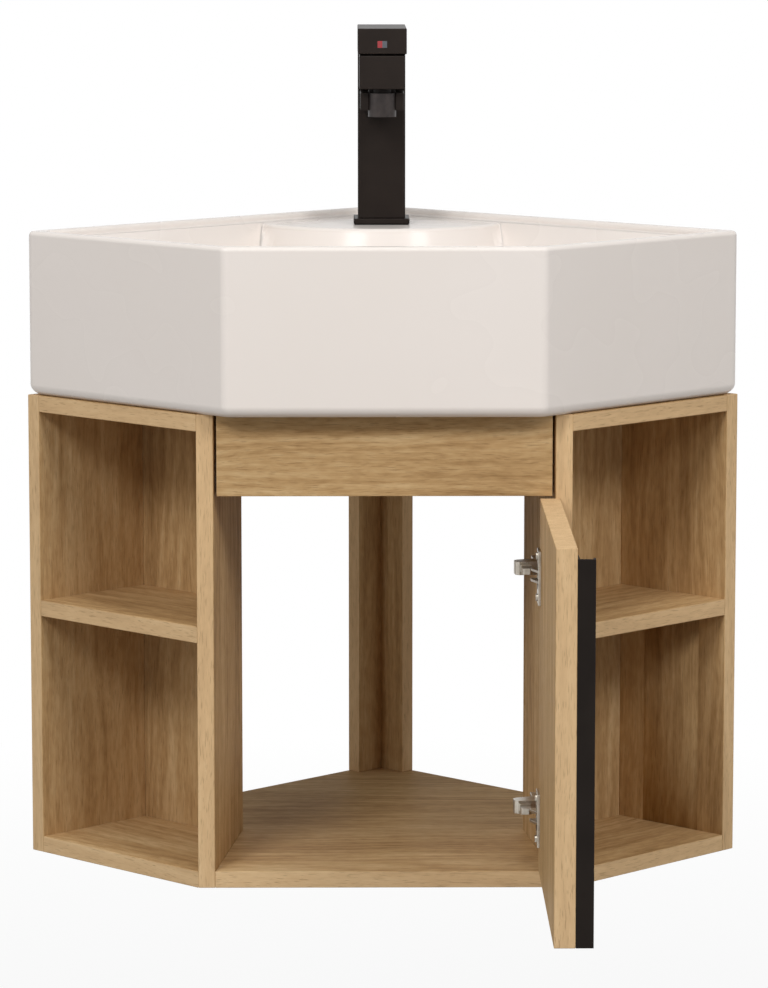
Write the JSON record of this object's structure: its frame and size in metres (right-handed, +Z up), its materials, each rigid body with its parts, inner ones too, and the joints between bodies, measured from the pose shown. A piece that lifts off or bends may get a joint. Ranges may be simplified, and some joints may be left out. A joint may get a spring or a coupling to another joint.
{
  "type": "corner vanity unit",
  "caption": "Wall-hung corner vanity: oak-board cabinet with open side shelves and an inset door, a faceted ceramic basin and a square single-lever tap.",
  "frame": {"origin": "the room corner where the two walls meet, at the level of the cabinet's underside", "axes": "+Z up; the front faces -Y and +Y points into the corner; +X to the right seen from the front; the walls run along -X-Y and +X-Y"},
  "size_m": [0.6506, 0.7816, 0.7561],
  "materials": {
    "oak_board": "light oak grain melamine on particle board, satin",
    "beech": "bare beech dowel",
    "zinc_plate": "zinc-plated steel",
    "nickel_plate": "nickel-plated steel, satin",
    "black_metal": "matt black powder coat",
    "white_glaze": "warm white glaze, glossy",
    "chrome_brass": "polished chrome on brass",
    "black_rubber": "matt",
    "tap_black": "matt black-brown coat on brass",
    "cartridge_plastic": "natural moulded plastic",
    "bare_brass": "turned",
    "mark_red": "glossy",
    "mark_blue": "glossy",
    "aerator_grey": "dark grey plated"
  },
  "bodies": {
    "cabinet": {"left_wall_panel": "oak_board", "right_wall_panel": "oak_board", "left_back_panel": "oak_board", "right_back_panel": "oak_board", "left_partition": "oak_board", "right_partition": "oak_board", "left_top_board": "oak_board", "right_top_board": "oak_board", "left_shelf": "oak_board", "right_shelf": "oak_board", "left_bottom_board": "oak_board", "right_bottom_board": "oak_board", "floor_board": "oak_board", "apron": "oak_board", "stretcher": "oak_board", "left_wall_rail": "oak_board", "right_wall_rail": "oak_board", "left_post_board": "oak_board", "right_post_board": "oak_board", "dowels": "beech", "cam_bolts": "zinc_plate", "cam_discs": "zinc_plate", "apron_brackets": "zinc_plate", "bracket_screws": "zinc_plate", "upper_hinge_arm": "nickel_plate", "lower_hinge_arm": "nickel_plate", "upper_hinge_plate": "nickel_plate", "lower_hinge_plate": "nickel_plate", "plate_screws": "nickel_plate", "basin": "white_glaze", "waste_body": "chrome_brass", "waste_seal": "black_rubber", "waste_gasket": "black_rubber", "waste_nut": "chrome_brass", "tap_base_plate": "tap_black", "tap_gasket": "black_rubber", "tap_body": "tap_black", "cartridge": "cartridge_plastic", "cartridge_nut": "bare_brass", "aerator_sleeve": "aerator_grey", "aerator_insert": "cartridge_plastic", "tap_stud": "zinc_plate", "clamp_washer": "zinc_plate", "clamp_nut": "bare_brass"},
    "door": {"door_panel": "oak_board", "door_pull": "black_metal", "pull_screws": "zinc_plate", "upper_hinge_cup": "nickel_plate", "lower_hinge_cup": "nickel_plate", "cup_screws": "nickel_plate"},
    "waste_plug": {"waste_plug": "chrome_brass"},
    "lever_carrier": {"lever_carrier": "zinc_plate", "lever_pin": "zinc_plate"},
    "lever": {"tap_lever": "tap_black", "hot_mark": "mark_red", "cold_mark": "mark_blue"}
  },
  "joints": [
    {"name": "door_hinge", "type": "hinge", "parent": "cabinet", "child": "door", "pos_m": [0.15217, -0.48127, 0.184], "axis": [0, 0, 1], "range_deg": [-90, 10]},
    {"name": "plug_push", "type": "slide", "parent": "cabinet", "child": "waste_plug", "axis": [0, 0, -1], "range_m": [0, 0.006], "stiffness_N_per_m": 300, "springref_m": -0.012},
    {"name": "lever_turn", "type": "hinge", "parent": "cabinet", "child": "lever_carrier", "pos_m": [0, -0.133, 0.731], "axis": [0, 0, 1], "range_deg": [-45, 45]},
    {"name": "lever_lift", "type": "hinge", "parent": "lever_carrier", "child": "lever", "pos_m": [0, -0.115, 0.735], "axis": [-1, 0, 0], "range_deg": [0, 25]}
  ]
}
